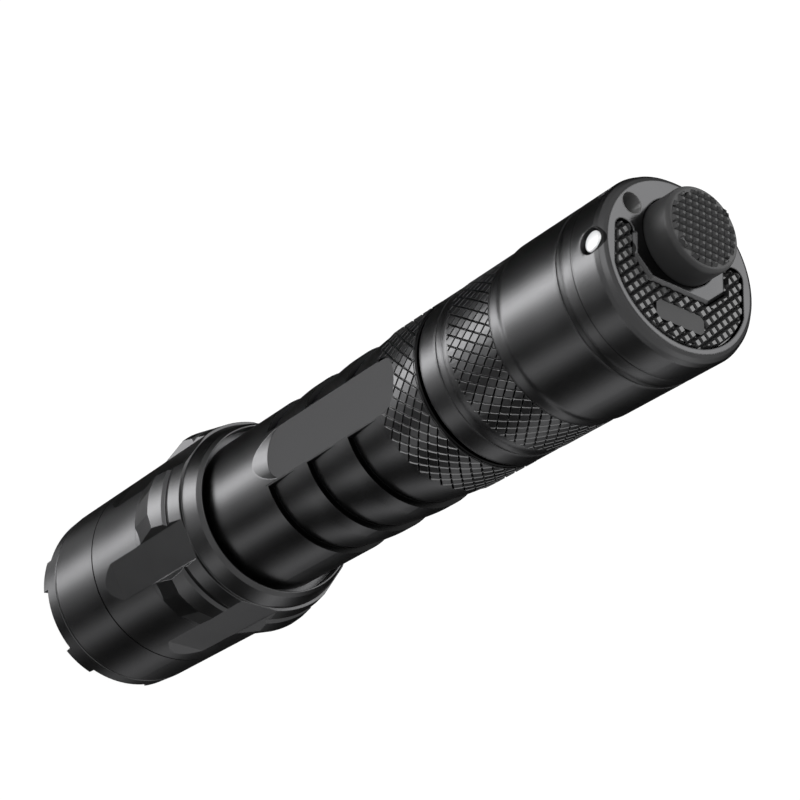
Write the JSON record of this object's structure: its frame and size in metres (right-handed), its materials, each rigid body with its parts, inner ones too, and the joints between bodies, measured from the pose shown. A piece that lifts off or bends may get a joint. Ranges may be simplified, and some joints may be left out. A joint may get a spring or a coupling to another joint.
{
  "type": "flashlight",
  "caption": "Slim tactical flashlight with a lobed head, toothed bezel, grooved and knurled grip, and a screw-on tail cap with a power button and a crescent mode paddle.",
  "frame": {"origin": "on the axis, in the plane of the bezel's tooth tips, where the lamp stands", "axes": "+Z along the axis from the bezel to the tail button; -Y out of the bare side flat; +X completes the right-handed frame, close to the mode paddle"},
  "size_m": [0.0326, 0.0332, 0.1445],
  "materials": {
    "anodised": "hard anodised, satin",
    "lens_glass": "polished, coated",
    "seal_rubber": "smooth",
    "reflector_metal": "vapour coated, polished",
    "white_plastic": "moulded",
    "emitter_package": "ceramic package with phosphor",
    "emitter_dome": "clear silicone",
    "copper_board": "copper core with white mask",
    "screw_steel": "plain",
    "lead_wire": "sleeved wire",
    "circuit_board": "masked laminate",
    "chip_plastic": "moulded",
    "brass_ring": "turned",
    "spring_brass": "plated wire",
    "cell_wrap": "shrink sleeve over a metal can",
    "contact_steel": "nickel plated",
    "stem_plastic": "moulded",
    "button_rubber": "moulded, matte",
    "paddle_rubber": "moulded, satin",
    "milky_plastic": "milky diffuser"
  },
  "bodies": {
    "lamp": {"bezel_ring": "anodised", "lens": "lens_glass", "lens_seal": "seal_rubber", "reflector": "reflector_metal", "centring_ring": "white_plastic", "emitter": "emitter_package", "emitter_dome": "emitter_dome", "emitter_board": "copper_board", "board_screws": "screw_steel", "leads": "lead_wire", "head_body": "anodised", "driver_board": "circuit_board", "driver_parts": "chip_plastic", "driver_ring": "brass_ring", "head_spring": "spring_brass", "head_seal": "seal_rubber", "body_tube": "anodised", "cell": "cell_wrap", "cell_contact": "contact_steel", "tail_seal": "seal_rubber"},
    "tail_contact": {"tail_spring": "spring_brass"},
    "tail": {"tail_cap": "anodised", "tail_ring": "brass_ring", "switch_board": "circuit_board", "power_switch": "chip_plastic", "mode_switch": "chip_plastic", "indicator_lens": "milky_plastic", "indicator_led": "emitter_package"},
    "power": {"power_stem": "stem_plastic", "power_plunger": "white_plastic", "power_button": "button_rubber"},
    "mode": {"mode_stem": "stem_plastic", "mode_plunger": "white_plastic", "mode_paddle": "paddle_rubber"}
  },
  "joints": [
    {"name": "tail_travel", "type": "slide", "parent": "lamp", "child": "tail_contact", "axis": [0, 0, 1], "range_m": [0, 0.005], "deforming": ["tail_spring"]},
    {"name": "tail_turn", "type": "hinge", "parent": "tail_contact", "child": "tail", "pos_m": [0, 0, 0.12], "axis": [0, 0, 1], "range_deg": [0, 1440]},
    {"name": "power_press", "type": "slide", "parent": "tail", "child": "power", "axis": [0, 0, -1], "range_m": [0, 0.0015], "stiffness_N_per_m": 600},
    {"name": "mode_press", "type": "slide", "parent": "tail", "child": "mode", "axis": [0, 0, -1], "range_m": [0, 0.0007], "stiffness_N_per_m": 800}
  ],
  "couplings": [
    {"joint": "tail_turn", "follows": "tail_travel", "rad_per_m": 5026.5}
  ]
}
